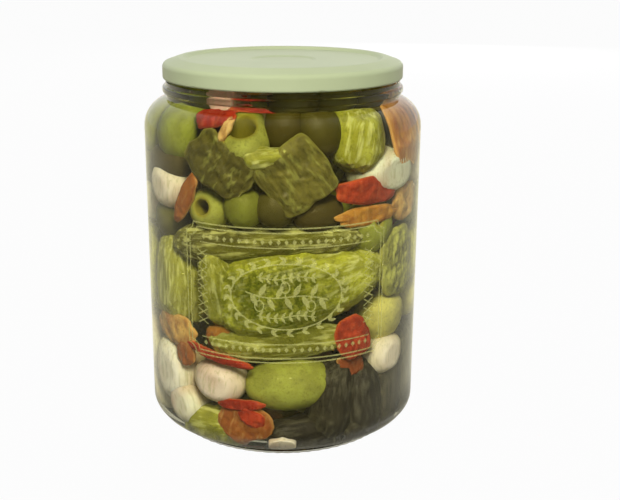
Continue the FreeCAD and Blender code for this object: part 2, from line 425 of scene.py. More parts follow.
# "foot", "neck" and "arch" are corners as (radius, height, rounding). The foot runs from the push-up over the
# bearing ring and its step to the heel, the neck from the groove over the bead and the collar to the finish,
# and the arch over the push-up inside.
jarSizes = {
    "wall": 2.4, "base": 3.7, "around": 288, "step": 2.5,
    "foot": ((0, 2.4, 0), (25.6, 2.4, 22), (38.6, 0, 1.2), (42.9, 0, 0.9), (43.2, 2.9, 0.8), (48, 4.4, 1.6)),
    "heelRise": 7, "heelRound": 4.5, "shoulder": 111.3, "shoulderRound": 10.3, "shoulderTurn": 72.8,
    "groove": 41.8, "grooveRound": 0.5,
    "neck": ((41.8, 123, 0.25), (43.1, 123.3, 0.8), (43.1, 125.5, 0.8), (42, 125.8, 0.4), (42, 127.1, 0.4),
             (40.1, 128, 0.4)),
    "finish": 40.1, "mouth": 37.6, "rimRound": 1.1, "innerTurn": 60, "innerNeckRound": 5, "innerHeelRound": 7.2,
    "arch": ((26.6, 3.7, 30), (10, 6.1, 14), (0, 6.1, 0)),
    "knurls": 72, "knurlDepth": 0.3, "knurlFrom": 41.9, "knurlTop": 1.6,
    "seamDepth": 0.06, "seamWidth": 0.5, "seamTo": 123,
    "wavy": 0.0008, "wavySize": 38, "wavySeed": 5, "wavyDrawnOut": 0.7, "wavySpan": (8, 117.3)}
brineSizes = {"intoWall": 0.18, "taper": 5, "floorBelow": 20, "step": 4.0, "around": 144}
printRise = 0.05    # the print is this far out from the glass


def shoulderLine(radius, rounding, turn, endRadius):
    corner = jarSizes["shoulder"] + rounding * math.tan(math.radians(turn / 2))
    return corner, corner + (radius - endRadius) / math.tan(math.radians(turn))


def outerOutline(rim):
    s, body = jarSizes, jarHigh.x / mm - printRise
    corner, top = shoulderLine(body, s["shoulderRound"], s["shoulderTurn"], s["groove"])
    return [
        *s["foot"], (body, s["heelRise"], s["heelRound"]), (body, corner, s["shoulderRound"]),
        (s["groove"], top, s["grooveRound"]), *s["neck"],
        (s["finish"], rim, s["rimRound"]), (s["mouth"], rim, s["rimRound"])]


def innerOutline(top):
    s, inner = jarSizes, jarHigh.x / mm - jarSizes["wall"]
    rounding = s["shoulderRound"] - s["wall"]
    corner, neck = shoulderLine(inner, rounding, s["innerTurn"], s["mouth"])
    return [
        (s["mouth"], top, 0), (s["mouth"], neck, s["innerNeckRound"]), (inner, corner, rounding),
        (inner, s["base"], s["innerHeelRound"]), *s["arch"]]


def makeJar():
    s = jarSizes
    rim = jarHigh.z / mm
    outside = spaced(roundedOutline(outerOutline(rim)), s["step"])
    inside = spaced(roundedOutline(innerOutline(rim - s["rimRound"])), s["step"])[1:]
    verts, faces = lathe(np.concatenate([outside, inside]), s["around"])
    outerCount = 1 + (len(outside) - 1) * s["around"]
    radius, height = np.hypot(verts[:, 0], verts[:, 1]), verts[:, 2]
    turn = np.arctan2(verts[:, 0], -verts[:, 1])
    isOuter = np.arange(len(verts)) < outerCount
    reach = np.ones(len(verts))
    # grip notches round the foot, two faint mould seams and a slightly wavy inner wall
    foot = isOuter & (radius > s["knurlFrom"]) & (height < s["knurlTop"])
    notch = s["knurlDepth"] * (0.5 + 0.5 * np.cos(turn * s["knurls"]))
    reach[foot] -= (notch / radius.clip(1))[foot]
    fromSeam = np.minimum(abs(turn - math.pi / 2), abs(turn + math.pi / 2)) * radius
    seam = s["seamDepth"] * np.exp(-(fromSeam / s["seamWidth"]) ** 2)
    wall = isOuter & (height > s["heelRise"]) & (height < s["seamTo"])
    reach[wall] -= (seam / radius.clip(1))[wall]
    wavyLow, wavyHigh = s["wavySpan"]
    inner = ~isOuter & (height > wavyLow) & (height < wavyHigh)
    reach[inner] += s["wavy"] * waves(verts * [1, 1, s["wavyDrawnOut"]], s["wavySize"], s["wavySeed"])[inner]
    verts[:, :2] *= reach[:, None]
    # the wet inside mirrors nothing, because brine lies against it
    jar = makeObject("jarGlass", verts, faces,
                     [makeGlassMaterial("clearGlass", glassLooks, glassLooks["mirror"]),
                      makeGlassMaterial("wetGlass", glassLooks, black)],
                     [0 if max(f) < outerCount else 1 for f in faces])
    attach(jar, "root")
    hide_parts("jar_glass")


def makeBrine():
    # it reaches a little way into the glass, so that no air shows between them
    s, level = brineSizes, brineHigh.z / mm
    line = spaced(roundedOutline(innerOutline(level)), s["step"])
    line[:, 0] += s["intoWall"] * np.minimum(1, line[:, 0] / s["taper"])
    line[line[:, 1] < s["floorBelow"], 1] -= s["intoWall"]
    verts, faces = lathe(np.concatenate([[(0.0, level)], line]), s["around"])
    brine = makeObject("brine", verts, rightOrder(verts, faces), [makeBrineMaterial(brineLooks)])
    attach(brine, "root")
    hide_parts("brine_fill")


def insideLines():
    # the jar's inner wall from the bottom up, and its floor from the middle out
    line = roundedOutline(innerOutline(jarHigh.z / mm - jarSizes["rimRound"]))
    side = line[(line[:, 0] > packing["sideFrom"]) & (line[:, 1] > jarSizes["base"] - 1)]
    floor = line[line[:, 1] < packing["floorTo"]]
    return side[np.argsort(side[:, 1], kind="stable")], floor[np.argsort(floor[:, 0])]


# The pickles: each shape stands on its own Z, and is laid in the brine as one of a joined batch per kind.
# "uneven" and the like are an amount and the size of its waves, and "ribs" are depths and counts.
packing = {"clear": 0.45, "belowLevel": 1.2, "sideFrom": 30, "floorTo": 30, "seed": 11, "spread": 400}
wallSide, wallFloor = insideLines()
batchRng = np.random.default_rng(packing["seed"])
batches = {}

oliveShape = {
    "rows": 23, "fullness": 0.9, "egg": 0.05, "dimple": 0.5, "dimpleWidth": 1.6,
    "boreLip": ((0.45, 0.05), (0.1, -0.3), (0, -0.9)), "boreLand": 0.9, "boreFade": (1.0, 0.6),
    "uneven": (0.02, 22), "pitted": (0.006, 5)}
gherkinShape = {
    "bluntness": 2.9, "ribs": ((0.022, 3), (0.018, 8)), "wartHeight": 0.75, "wartReach": (0.7, 1.3),
    "uneven": (0.25, 9), "creased": (0.1, 3.2), "bendMiddle": 0.4}
onionShape = {
    "rows": 25, "fullness": 0.85, "nibWidth": 0.12, "topNib": 1.4, "rootNib": -0.5,
    "ribs": ((0.012, 7), (0.008, 12)), "uneven": (0.03, 24)}
pepperShape = {
    "shares": (0, 0.2, 0.4, 0.58, 0.72, 0.83, 0.91, 0.96, 0.985, 1.0), "fineSteps": 28, "edge": 6,
    "ragged": ((0.06, 9), (0.03, 3.5)), "raggedSpan": 8, "uneven": (0.15, 7), "curl": 0.012,
    "wavy": ((0.44, 15), (0.15, 4)), "relief": ((1, 2.6), (0.7, 1.7)), "reliefDrawnOut": 0.25, "skin": (0.62, 0.5)}
pickShape = {"radius": 1.1, "around": 14, "step": 6.0}


def keepInside(verts):
    radius = np.hypot(verts[:, 0], verts[:, 1])
    wall = np.interp(verts[:, 2], wallSide[:, 1], wallSide[:, 0])
    pull = np.minimum(1, (wall - packing["clear"]) / radius.clip(0.1))
    verts[:, :2] *= pull[:, None]
    floor = np.interp(radius * pull, wallFloor[:, 0], wallFloor[:, 1])
    verts[:, 2] = np.maximum(verts[:, 2], floor + packing["clear"])
    verts[:, 2] = np.minimum(verts[:, 2], brineHigh.z / mm - packing["belowLevel"])
    return verts


def addPiece(kind, shape, turn, distance, height, lean=0, tip=0, roll=0, tone=0.5):
    # lean takes the top to the right, tip takes it outwards, roll turns the piece about itself
    verts, faces, accent = shape
    batch = batches.setdefault(kind, {"verts": [], "faces": [], "tone": [], "accent": [], "ownPlace": []})
    start = sum(len(v) for v in batch["verts"])
    spin = turnedBy("z", turn) @ turnedBy("y", lean) @ turnedBy("x", tip) @ turnedBy("z", roll)
    centre = turnedBy("z", turn) @ np.array([0.0, -distance, height])
    batch["verts"].append(keepInside(verts @ spin.T + centre))
    batch["faces"] += [tuple(start + k for k in f) for f in rightOrder(verts, faces)]
    batch["tone"].append(np.full(len(verts), tone))
    batch["accent"].append(accent)
    batch["ownPlace"].append(verts + batchRng.uniform(-packing["spread"], packing["spread"], 3))


def uneven(points, amount, seed):
    return amount[0] * waves(points, amount[1], seed)


def olive(length, width, seed, bore=0.0, around=40):
    s = oliveShape
    t = np.linspace(0, math.pi, s["rows"])
    radii = width / 2 * np.sin(t) ** s["fullness"]
    heights = -length / 2 * np.cos(t) * (1 + s["egg"] * np.cos(t))
    if bore > 0:
        # the bore runs from pole to pole, with a rounded lip at both ends
        keep = radii > bore + s["boreLand"]
        radii, heights = radii[keep], heights[keep]
        low, high = heights[0], heights[-1]
        rim = [(bore + out, high + up) for out, up in s["boreLip"]] + [(bore, high / 3), (bore, low / 3)]
        rim += [(bore + out, low - up) for out, up in reversed(s["boreLip"])]
        verts, faces = lathe(np.concatenate([np.column_stack([radii, heights]), rim]), around, closed=True)
        # the accent marks the bore and its lip, where the bore colour goes: the cut flesh, partly painted shade
        fadeFrom, fadeOver = s["boreFade"]
        accent = np.clip((bore + fadeFrom - radiusAndTurn(verts)[0]) / fadeOver, 0, 1)
    else:
        dimple = s["dimple"] * np.exp(-((radii / s["dimpleWidth"]) ** 2)) * (t > 2)
        verts, faces = lathe(np.column_stack([radii, heights - dimple]), around)
        accent = np.zeros(len(verts))
    verts *= 1 + uneven(verts, s["uneven"], seed)[:, None] + uneven(verts, s["pitted"], seed + 1)[:, None]
    return verts, faces, accent


def gherkin(length, width, seed, bend=0.0, taper=0.12, around=64, rows=44, warts=70):
    s = gherkinShape
    rng = np.random.default_rng(seed)
    ends = -np.cos(np.linspace(0, math.pi, rows))
    radii = width / 2 * (1 - np.abs(ends) ** s["bluntness"]) ** 0.5 * (1 - taper * ends)
    radii[[0, -1]] = 0
    verts, faces = lathe(np.column_stack([radii, length / 2 * ends]), around)
    turn = radiusAndTurn(verts)[1]
    ribs = 1
    for depth, count in s["ribs"]:
        ribs = ribs + depth * np.cos(count * turn + rng.uniform(0, 6))
    verts[:, :2] *= ribs[:, None]
    out = verts * [1, 1, (width / length) ** 2]
    out /= np.linalg.norm(out, axis=1)[:, None].clip(1e-6)
    height = np.zeros(len(verts))
    for _ in range(warts):
        centre = verts[rng.integers(len(verts))]
        reach = rng.uniform(*s["wartReach"])
        near = np.exp(-np.sum((verts - centre) ** 2, axis=1) / reach ** 2)
        height = np.maximum(height, near * rng.uniform(0.5, 1))
    own = verts.copy()
    relief = height * s["wartHeight"] + uneven(own, s["uneven"], seed + 2) + uneven(own, s["creased"], seed + 3)
    verts += out * relief[:, None]
    verts[:, 0] += bend * ((verts[:, 2] / length * 2) ** 2 - s["bendMiddle"])
    return verts, faces, height


def onion(width, height, seed, around=40):
    s = onionShape
    t = np.linspace(0, math.pi, s["rows"])
    radii = width / 2 * np.sin(t) ** s["fullness"]
    heights = -height / 2 * np.cos(t)
    nib = np.exp(-((radii / (width * s["nibWidth"])) ** 2))
    heights += nib * np.where(t > 1.5, s["topNib"], s["rootNib"])
    verts, faces = lathe(np.column_stack([radii, heights]), around)
    turn = radiusAndTurn(verts)[1]
    ribs = sum(depth * np.cos(count * turn + (k + 1) * seed) for k, (depth, count) in enumerate(s["ribs"]))
    verts[:, :2] *= (1 + ribs)[:, None]
    verts *= 1 + uneven(verts, s["uneven"], seed)[:, None]
    return verts, faces, np.zeros(len(verts))


def pepper(width, height, thick, seed, corner=3.5, around=64, relief=0.0):
    # a cut piece of pepper wall: skin towards -Y, flesh behind, its outline in the XZ plane
    s = pepperShape
    shares = np.array(s["shares"])
    if relief:
        shares = np.interp(np.linspace(0, len(shares) - 1, s["fineSteps"]), np.arange(len(shares)), shares)
    line = [(q, math.sqrt(max(0, 1 - q ** s["edge"]))) for q in shares]
    line += [(q, -e) for q, e in line[-2::-1]]
    verts, faces = lathe(np.array(line), around)
    share, turn = radiusAndTurn(verts)
    squared = (np.abs(np.cos(turn)) ** corner + np.abs(np.sin(turn)) ** corner) ** (-1 / corner)
    circle = np.column_stack([np.cos(turn), np.sin(turn), 0 * turn]) * s["raggedSpan"]
    ragged = 1 + uneven(circle, s["ragged"][0], seed) + uneven(circle, s["ragged"][1], seed + 1)
    x = width / 2 * share * squared * ragged * np.cos(turn)
    z = height / 2 * share * squared * ragged * np.sin(turn)
    flat = np.column_stack([x, 0 * x, z])
    y = -verts[:, 2] * thick / 2 * (1 + uneven(flat, s["uneven"], seed + 3)) + s["curl"] * x ** 2
    y += uneven(flat, s["wavy"][0], seed + 5) + uneven(flat, s["wavy"][1], seed + 6)
    ribbed = flat * [1, 1, s["reliefDrawnOut"]]
    y += relief * (uneven(flat, s["relief"][0], seed + 7) + uneven(ribbed, s["relief"][1], seed + 8))
    skinFrom, skinOver = s["skin"]
    return np.column_stack([x, y, z]), faces, np.clip((skinFrom - verts[:, 2]) / skinOver, 0, 1)


def pick(length):
    # sharp at the foot and blunt at the head
    half, radius = length / 2, pickShape["radius"]
    line = [(0, -half), (0.35, 0.6 - half), (radius - 0.05, 5 - half), (radius, 0),
            (radius - 0.05, half - 3), (radius - 0.3, half - 0.4), (0, half)]
    verts, faces = lathe(spaced(np.array(line), pickShape["step"]), pickShape["around"])
    return verts, faces, np.zeros(len(verts))


# What shows at the front, piece by piece: turn, distance, height, length, width, lean, tip, tone, and the
# olive's bore or the gherkin's bend. Onions have their width before their height and nothing after the tone.
frontOlives = [
    (-57, 37, 112, 20, 18.5, 10, 0, 0.5, 0), (-63, 38.5, 101, 22, 14, 84, 0, 0, 0),
    (-47, 27, 125, 18, 16, 60, 0, 0.3, 0), (-18.5, 38, 110.6, 11.5, 17, 0, 20, 0.62, 4.1),
    (1, 35, 114, 14, 13, 10, 0, 0.02, 0), (17.5, 37, 114, 15, 14, -10, 0, 0.04, 0),
    (-36, 38.8, 88, 14, 14.5, 0, 78, 0.65, 2.6), (-18, 39.5, 90, 14, 13.5, 0, 0, 0.3, 0),
    (17, 38.8, 88, 17, 13, 85, 0, 0, 0), (44, 38.6, 81, 16, 19, 0, 70, 0.55, 1.3),
    (56, 37.5, 46.8, 18.5, 19, 0, 10, 1, 0), (4, 36.5, 26.2, 29, 20, 87, 0, 0.6, 0),
    (-64, 38, 81, 14, 15, 0, 0, 0.1, 0), (-3, 38.8, 90, 13, 14, 10, 0, 0.04, 0),
    # the four olives deep in the neck, at height 125, get dark tones as painted shade: they stand in for the lid's
    # shadow over the neck
    (8, 28.5, 125, 17, 15, 80, 0, 0.08, 0), (32, 28.5, 125.5, 17, 15, 75, 0, 0.12, 0),
    (57, 28.5, 125, 17, 15, 85, 0, 0.1, 0), (82, 28, 125, 17, 15, 80, 0, 0.1, 0),
    (-88, 37.5, 111, 19, 18, 0, 0, 0.55, 0), (-90, 38, 97, 16, 16, 80, 0, 0.1, 0),
    (85, 38, 48, 15, 18, 0, 0, 1, 0), (88, 38, 84, 16, 17, 80, 0, 0.9, 0)]

frontGherkins = [
    (39, 37, 110.4, 20.5, 18, 17, 0, 0.74, 0), (-61, 36.5, 60, 35, 22, 0, 0, 0.62, 0.6),
    (8, 33.5, 61, 58, 29, 75, 0, 0.88, 1.5), (-30, 41.3, 60, 25, 13, -14, 0, 0.6, 0),
    (-34, 38.5, 9, 27, 14, 83, 0, 0.6, 0),
    (-1, 37, 42.5, 46, 13, 86, 0, 0.5, 0.8), (-7, 43, 107.3, 15, 7, 76, 0, 0.58, 0.3),
    (-88, 37.5, 59, 34, 20, 0, 0, 0.85, 0.3), (86, 37.5, 66, 24, 19, 0, 0, 1, 0.3),
    (-9, 32, 77, 62, 16, 86, 0, 0.1, 0.5)]

frontDarkGherkins = [
    (25, 38.5, 20, 32, 16, 8, 0, 0.4, 1), (41, 38.5, 17, 32, 17, -8, 0, 0.2, 1),
    (57, 38.5, 19, 35, 17, 6, 0, 0.5, 1), (74, 38.5, 22, 36, 17, -4, 0, 0.8, 1),
    (91, 38.5, 24, 36, 17, 3, 0, 0.5, 1), (13, 38, 8.5, 30, 12, 86, 0, 0.1, 0),
    (49, 39.5, 8, 30, 11, 88, 0, 0.3, 1), (84, 39.5, 8, 30, 11, 88, 0, 0.5, 1)]

frontOnions = [
    (-62, 38.5, 93, 20, 16, 10, 0, 0.42), (54, 38, 99, 25, 15, 0, 0, 0.7),
    (-62, 38, 24, 22, 26, 0, 0, 0.5), (-31, 39, 26, 19, 16, 10, 0, 0.32),
    (-51, 39.5, 14, 17, 17, -20, 0, 0.6), (55, 39.5, 32, 18, 15, 0, 0, 0.42),
    # the small pale onion at (0, 43.6, 5.9), on the jar's floor at the front, is a painted highlight: it stands in
    # for a glint of light through the glass base
    (-33, 31, 126, 20, 11, 80, 0, 0), (0, 43.6, 5.9, 9.5, 3.6, 0, 0, 0.4),
    (-89, 38, 84, 19, 15, 0, 0, 0.5), (-90, 37.5, 29, 22, 24, 10, 0, 0.5),
    (-84, 38.5, 10, 20, 15, 0, 0, 0.55), (86, 38, 98, 20, 15, 0, 0, 0.5)]

# turn, distance, height, then the piece's own width, height and thickness, lean, tip, tone and how square it is
frontReds = [
    (-31, 41, 118.5, 15, 8, 3, -12, -35, 0.5, 2.6), (-15, 38, 121.5, 14, 3, 3, 6, -40, 0.3, 2.5),
    (39.5, 45, 94.5, 25, 9.5, 3.4, 4, 0, 0.62, 2.3), (31, 45.2, 43.8, 13.5, 17, 3, -22, 0, 0.6, 2.2),
    (-29, 45.4, 36.8, 25, 3.6, 3, 11, 0, 0.45, 2.4), (-38, 32, 128, 20, 6, 3, 10, -20, 0.3, 2.6),
    (-18, 45.6, 20, 17, 4, 2.4, -6, 0, 0.3, 2.2), (-13, 45.4, 15.5, 10, 6.5, 2.6, 30, 0, 0.55, 2.2)]

frontGreens = [
    (-27, 44.8, 104, 24, 17, 3, 35, -6, 0.2, 3.4), (5.2, 44.2, 100.8, 22.5, 21.5, 3.4, -38, -4, 0.42, 8),
    (60, 43.5, 66, 20, 27, 4, 0, 0, 0.95, 3)]

frontOranges = [
    (67, 43, 112, 22, 25, 4, 10, -20, 0.42, 3), (92, 42.5, 113, 18, 22, 4, 0, -20, 0.6, 2.6),
    (65, 44, 87.6, 17, 13, 4, 0, 0, 0.9, 2.6), (39, 44.6, 86, 25, 6.5, 3.5, 0, 0, 0.5, 2.6),
    (-24, 43.8, 115.5, 3.5, 8, 2.4, 24, -20, 1, 2.2), (-56, 43.5, 42, 22, 12, 4, 8, 0, 0.8, 3),
    (-44, 45.3, 91.5, 6, 20, 3, 28, 0, 0.14, 2.4), (-17, 44.4, 13.5, 20, 15, 3, 12, 0, 0.1, 2.2),
    (-47, 44.8, 34.5, 9, 9, 3, 0, 0, 0.12, 2.2), (-27, 42.5, 42, 14, 10, 3, 20, 0, 0.3, 2.4),
    (32, 42, 32.5, 11, 8, 3.4, 10, 0, 0, 2.2)]


def addFront():
    # olives, gherkins, onions and peppers, each with a seed of its own
    for k, (turn, distance, height, length, width, lean, tip, tone, bore) in enumerate(frontOlives):
        addPiece("olives", olive(length, width, 100 + k, bore), turn, distance, height, lean, tip, 0, tone)
    for kind, table, seed in (("gherkins", frontGherkins, 200), ("darkGherkins", frontDarkGherkins, 250)):
        for k, (turn, distance, height, length, width, lean, tip, tone, bend) in enumerate(table):
            shape = gherkin(length, width, seed + k, bend, warts=int(length * width / 7))
            addPiece(kind, shape, turn, distance, height, lean, tip, 40 * k, tone)
    for k, (turn, distance, height, width, tall, lean, tip, tone) in enumerate(frontOnions):
        addPiece("onions", onion(width, tall, 300 + k), turn, distance, height, lean, tip, 0, tone)
    for kind, table, seed, relief in (("redPepper", frontReds, 580, 0.1), ("greenPepper", frontGreens, 620, 0.3),
                                      ("orangePepper", frontOranges, 640, 0.1)):
        for k, (turn, distance, height, width, tall, thick, lean, tip, tone, corner) in enumerate(table):
            shape = pepper(width, tall, thick, seed + k, corner, relief=relief)
            addPiece(kind, shape, turn, distance, height, lean, tip, 0, tone)


# The rest of the jar: whole skewers standing in two tiers, turned and filled differently, in an outer ring
# behind the front pieces, an inner ring and one in the middle. Tiers are (low, high, lean, shift in degrees).
fill = {
    "seed": 5, "tiers": ((6.5, 66, 0, 0), (67, 127, -7, 9)), "gap": 0.2, "least": 4, "wobble": 10,
    "outer": np.linspace(108, 250, 7), "outerAt": 37.0,
    "inner": np.arange(6) * 60 + 25, "innerAt": 20.5, "middleAt": 2.0,
    "order": ["olive", "onion", "gherkin", "olive", "pepper", "pepper"],
    "sizes": {"gherkin": ((17, 25), (17, 20)), "onion": ((12, 16), (16, 20)), "pepper": ((4, 6), (15, 20)),
              "olive": ((12, 18), (14.5, 17.5))},
    "pepperDeep": (14, 18), "peppers": ["redPepper", "redPepper", "greenPepper", "orangePepper"]}
loose = {
    "count": 20, "from": 98, "span": 164, "at": 45.4, "width": (9, 22), "height": (6, 20), "thick": 2.8,
    "corner": (2.4, 5), "low": 14, "high": 104, "seed": 700,
    "kinds": ["redPepper", "greenPepper", "redPepper", "orangePepper", "greenPepper"]}


def addAt(kind, shape, centre, lean, tip, roll, tone):
    # the same as addPiece, from a point
    turn = math.degrees(math.atan2(centre[0], -centre[1]))
    addPiece(kind, shape, turn, math.hypot(centre[0], centre[1]), centre[2], lean, tip, roll, tone)


def addSkewer(turn, distance, low, high, lean, rng):
    length = high - low
    wobble = fill["wobble"]
    spin = turnedBy("z", turn) @ turnedBy("x", lean)
    foot = turnedBy("z", turn) @ np.array([0.0, -distance, low])
    at = rng.uniform(1.5, 6)
    order = list(rng.permutation(fill["order"]))
    while at < length - 5:
        what = order.pop(0) if order else "olive"
        seed = int(rng.integers(1000, 9000))
        tone = float(rng.uniform(0, 1))
        tallRange, wideRange = fill["sizes"][what]
        tall, wide = min(length - 1 - at, rng.uniform(*tallRange)), rng.uniform(*wideRange)
        if what == "gherkin":
            shape = gherkin(tall, wide, seed, rng.uniform(-1, 1), rng.uniform(-0.15, 0.15), 44, 28, 50)
            kind, tone = "gherkins", 0.2 + 0.7 * tone
        elif what == "onion":
            shape, kind = onion(wide, tall, seed, 32), "onions"
        elif what == "pepper":
            verts, faces, accent = pepper(wide, rng.uniform(*fill["pepperDeep"]), tall - 0.8, seed, around=44)
            shape = verts @ turnedBy("x", -90).T, faces, accent
            kind = fill["peppers"][int(rng.integers(4))]
        else:
            shape, kind, tone = olive(tall, wide, seed, 1.2, 32), "olives", 0.75 * tone
        if tall < fill["least"]:
            break
        addAt(kind, shape, foot + spin @ np.array([rng.uniform(-1, 1), 0, at + tall / 2]),
              rng.uniform(-wobble, wobble), lean + rng.uniform(-wobble, wobble), rng.uniform(0, 360), tone)
        at += tall + fill["gap"]
    addAt("picks", pick(length), foot + spin @ np.array([0, 0, length / 2]), 0, lean, 0, 0.5)


def addFill():
    rng = np.random.default_rng(fill["seed"])
    for low, high, lean, shift in fill["tiers"]:
        for turn in fill["outer"]:
            addSkewer(turn + shift + rng.uniform(-2, 2), fill["outerAt"] - rng.uniform(0, 0.8), low, high, lean, rng)
        for turn in fill["inner"]:
            addSkewer(turn + shift, fill["innerAt"], low + 1, high - 1, 0.4 * lean, rng)
        addSkewer(shift, fill["middleAt"], low + 3, high, 0, rng)
    # loose cut peppers, pressed flat between the skewers and the glass
    for k in range(loose["count"]):
        turn = loose["from"] + loose["span"] * (k + rng.uniform(0.2, 0.8)) / loose["count"]
        shape = pepper(rng.uniform(*loose["width"]), rng.uniform(*loose["height"]), loose["thick"],
                       loose["seed"] + k, rng.uniform(*loose["corner"]))
        addPiece(loose["kinds"][k % 5], shape, turn, loose["at"], rng.uniform(loose["low"], loose["high"]),
                 rng.uniform(-60, 60), 0, 0, rng.uniform(0.2, 0.8))


makeJar()
makeBrine()
print("stage: glass and brine")

addFront()
addFill()
foodMaterials = {
    "olives": makeFoodMaterial("curedOlive", oliveLooks),
    "gherkins": makeFoodMaterial("gherkinSkin", gherkinLooks),
    "darkGherkins": makeFoodMaterial("darkGherkinSkin", darkGherkinLooks),
    "onions": makeFoodMaterial("silverskinOnion", onionLooks),
    "redPepper": makeFoodMaterial("redPepper", redPepperLooks),
    "greenPepper": makeFoodMaterial("greenPepper", greenPepperLooks),
    "orangePepper": makeFoodMaterial("orangePepper", orangePepperLooks),
    "picks": makePickMaterial(pickLooks)}
for kind, batch in batches.items():
    made = makeObject(kind, np.concatenate(batch["verts"]), batch["faces"], [foodMaterials[kind]], None,
                      {key: np.concatenate(batch[key]) for key in ("tone", "accent", "ownPlace")})
    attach(made, "root")
    print("  ", kind, len(made.data.vertices), "points")
print("stage: pickles")


# The print: thin lines and leaves, laid out flat round its middle and wrapped on the wall, with a fading
# dark oval, the shade, behind them, which darkens the middle of the print. Insets are from the side and from the top
# or bottom.
printLooks = {
    "turn": 1.5, "middle": 61.5, "halfWidth": 36.5, "halfHeight": 23.5, "line": 0.5, "thin": 0.4, "below": 0.008,
    "ink": "dedb86", "worn": "c3c274", "cover": 0.48, "wornCover": 0.336,
    "shade": "3e4a08", "shadeCover": 0.6, "shadeWornCover": 0.18, "shadeBelow": 0.02,
    "shadeMiddle": -3, "shadeHalf": (30, 19.5), "bite": 3.2, "frameGap": 1.5,
    "lozenges": 23, "lozenge": (0.75, 1), "lozengeInset": (7.5, 4.6), "ruleInset": (6, 6.6),
    "twigs": (6.6, -7), "twigLength": 20, "twigLeaves": 8, "twigLeaf": (55, 2.4, 1.008),
    "oval": (19, 11.5), "wreath": (20.2, 12.7), "wreathWay": (12, 19.5), "wreathLeaf": (28, 3, 1.2),
    "spray": 14, "sprayLeaf": (62, 5.2, 1.9), "fruit": (1.5, 1.9), "fruitDrop": 3.4, "stalk": 1.6,
    "hatches": 9, "hatchInset": 4.6, "hatchFrom": -12, "hatchStep": 3, "hatch": (4, 2.4)}
ink = {"verts": [], "faces": [], "shade": []}


def ribbon(points, width, closed=False):
    points = np.array(points, float)
    before, after = np.roll(points, 1, axis=0), np.roll(points, -1, axis=0)
    if not closed:
        before[0], after[-1] = points[0], points[-1]
    way = after - before
    way /= np.linalg.norm(way, axis=1)[:, None].clip(1e-6)
    side = np.column_stack([-way[:, 1], way[:, 0]]) * width / 2
    start, count = len(ink["verts"]), len(points)
    for pair in zip(points - side, points + side):
        ink["verts"] += pair
    for k in range(count if closed else count - 1):
        a, b = start + 2 * k, start + 2 * ((k + 1) % count)
        ink["faces"].append((a, b, b + 1, a + 1))


def inkShape(points):
    start = len(ink["verts"])
    ink["verts"] += [np.array(p, float) for p in points]
    ink["faces"].append(tuple(range(start, start + len(points))))


def inkLeaf(x, z, angle, length, width):
    way = np.array([math.cos(math.radians(angle)), math.sin(math.radians(angle))])
    side = np.array([-way[1], way[0]])
    share = np.linspace(0, 1, 7)
    bulge = width / 2 * np.sin(math.pi * share ** 0.8)
    upper, lower = ([np.array([x, z]) + way * length * q + sign * side * h for q, h in zip(share, bulge)]
                    for sign in (1, -1))
    inkShape(upper + lower[-2:0:-1])


def inkPair(x, z, along, leaf):
    # two leaves, one to each side of a direction
    spread, length, width = leaf
    inkLeaf(x, z, along + spread, length, width)
    inkLeaf(x, z, along - spread, length, width)


def inkField(middle, halfWidth, halfHeight, rings=12, around=72):
    # a filled oval with a wavy edge, which it fades towards
    start, levels = len(ink["verts"]), np.linspace(0.02, 1, rings)
    share, turn = np.meshgrid(levels, np.arange(around) / around * 2 * math.pi, indexing="ij")
    share = share * (1 + 0.1 * np.cos(5 * turn) + 0.06 * np.cos(9 * turn + 1))
    x, z = middle + halfWidth * share * np.cos(turn), halfHeight * share * np.sin(turn)
    ink["verts"] += list(np.column_stack([x.ravel(), z.ravel()]))
    ink["shade"] += list(enumerate(np.repeat(np.clip(1.6 * (1 - levels), 0.01, 1), around), start))
    for ring in range(rings - 1):
        for k in range(around):
            a, b = start + ring * around + k, start + ring * around + (k + 1) % around
            ink["faces"].append((a, a + around, b + around, b))


def inkFrame(halfWidth, halfHeight, bite, width):
    # a rectangle with a round bite out of each corner
    line = []
    for sx, sz, first in ((1, 1, 270), (-1, 1, 0), (-1, -1, 90), (1, -1, 180)):
        turns = np.radians(np.linspace(first, first - 90, 9))
        line += [(sx * halfWidth + bite * math.cos(a), sz * halfHeight + bite * math.sin(a)) for a in turns]
    ribbon(spaced(np.array(line + line[:1]), 2.0)[:-1], width, closed=True)


def ovalPoint(half, a, x=0, z=0):
    return x + half[0] * math.cos(a), z + half[1] * math.sin(a)


